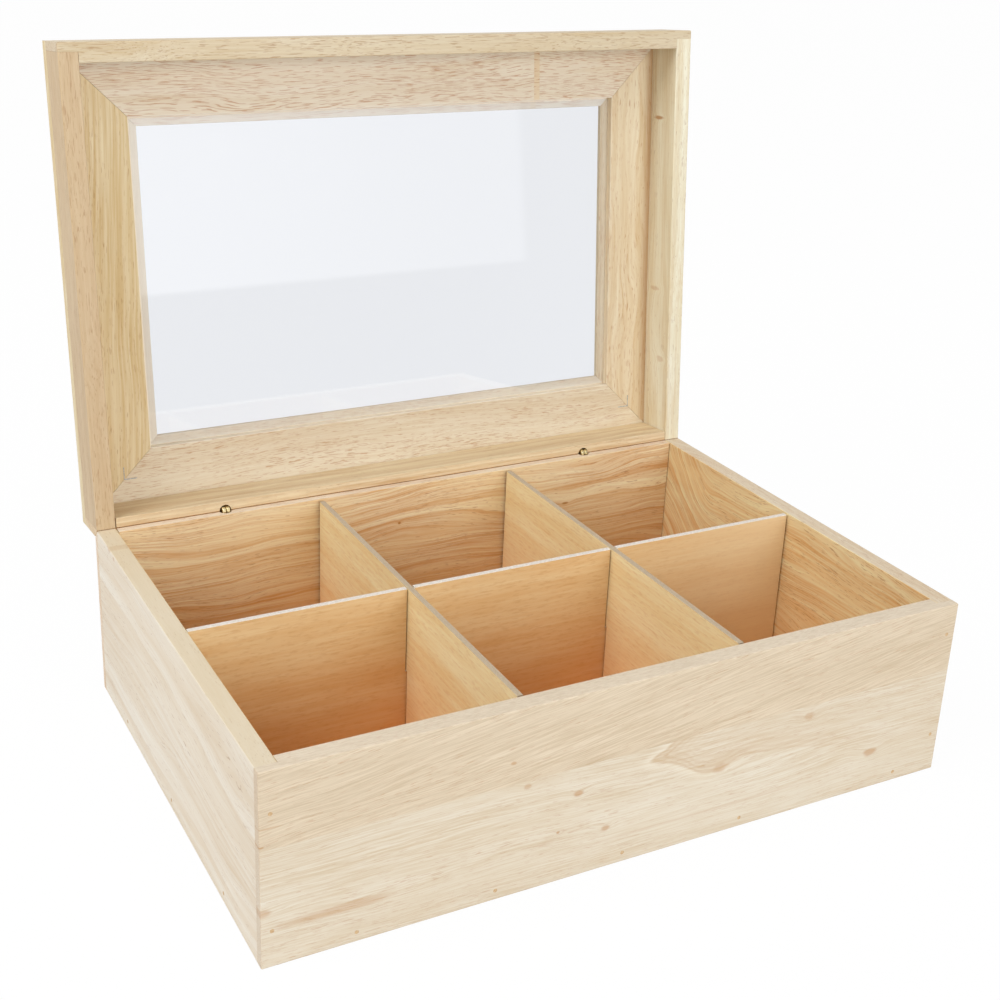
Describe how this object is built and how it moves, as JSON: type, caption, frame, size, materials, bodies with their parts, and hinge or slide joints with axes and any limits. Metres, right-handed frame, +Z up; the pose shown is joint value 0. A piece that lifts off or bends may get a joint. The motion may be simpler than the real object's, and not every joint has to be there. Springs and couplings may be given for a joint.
{
  "type": "tea bag organizer box",
  "caption": "Hinged wooden tea bag organizer box with compartments from a loose divider insert and a glazed lid standing open.",
  "frame": {"origin": "middle of the body's footprint on the plane that it rests on", "axes": "+X to the right along the width, +Y to the back where the lid is hinged, +Z up"},
  "size_m": [0.33, 0.2724, 0.308],
  "materials": {
    "rubberwood": "satin lacquer over pale open-pored rubberwood",
    "divider_board": "thin fibreboard with a beech-coloured face and pale raw edges",
    "clear_pane": "clear polished",
    "brass": "polished",
    "nail_steel": "bright zinc",
    "wood_filler": "matt putty, sanded flush"
  },
  "bodies": {
    "box": {"front_board": "rubberwood", "back_board": "rubberwood", "left_board": "rubberwood", "right_board": "rubberwood", "bottom_panel": "rubberwood", "corner_brads": "nail_steel", "bottom_brads": "nail_steel", "brad_fillers": "wood_filler", "left_hinge_lower_barrel": "brass", "right_hinge_lower_barrel": "brass", "left_hinge_pin": "nail_steel", "right_hinge_pin": "nail_steel"},
    "divider_insert": {"long_divider": "divider_board", "left_cross_divider": "divider_board", "right_cross_divider": "divider_board"},
    "lid": {"lid_front_board": "rubberwood", "lid_back_board": "rubberwood", "lid_left_board": "rubberwood", "lid_right_board": "rubberwood", "frame_front_rail": "rubberwood", "frame_back_rail": "rubberwood", "frame_left_stile": "rubberwood", "frame_right_stile": "rubberwood", "window_pane": "clear_pane", "mitre_nails": "nail_steel", "lid_brads": "nail_steel", "lid_brad_fillers": "wood_filler", "left_hinge_upper_barrel": "brass", "right_hinge_upper_barrel": "brass"}
  },
  "joints": [
    {"name": "lid_hinge", "type": "hinge", "parent": "box", "child": "lid", "pos_m": [0, 0.1093, 0.08615], "axis": [1, 0, 0], "range_deg": [0, 95.3]},
    {"name": "divider_lift", "type": "slide", "parent": "box", "child": "divider_insert", "axis": [0, 0, 1], "range_m": [0, 0.02]}
  ]
}
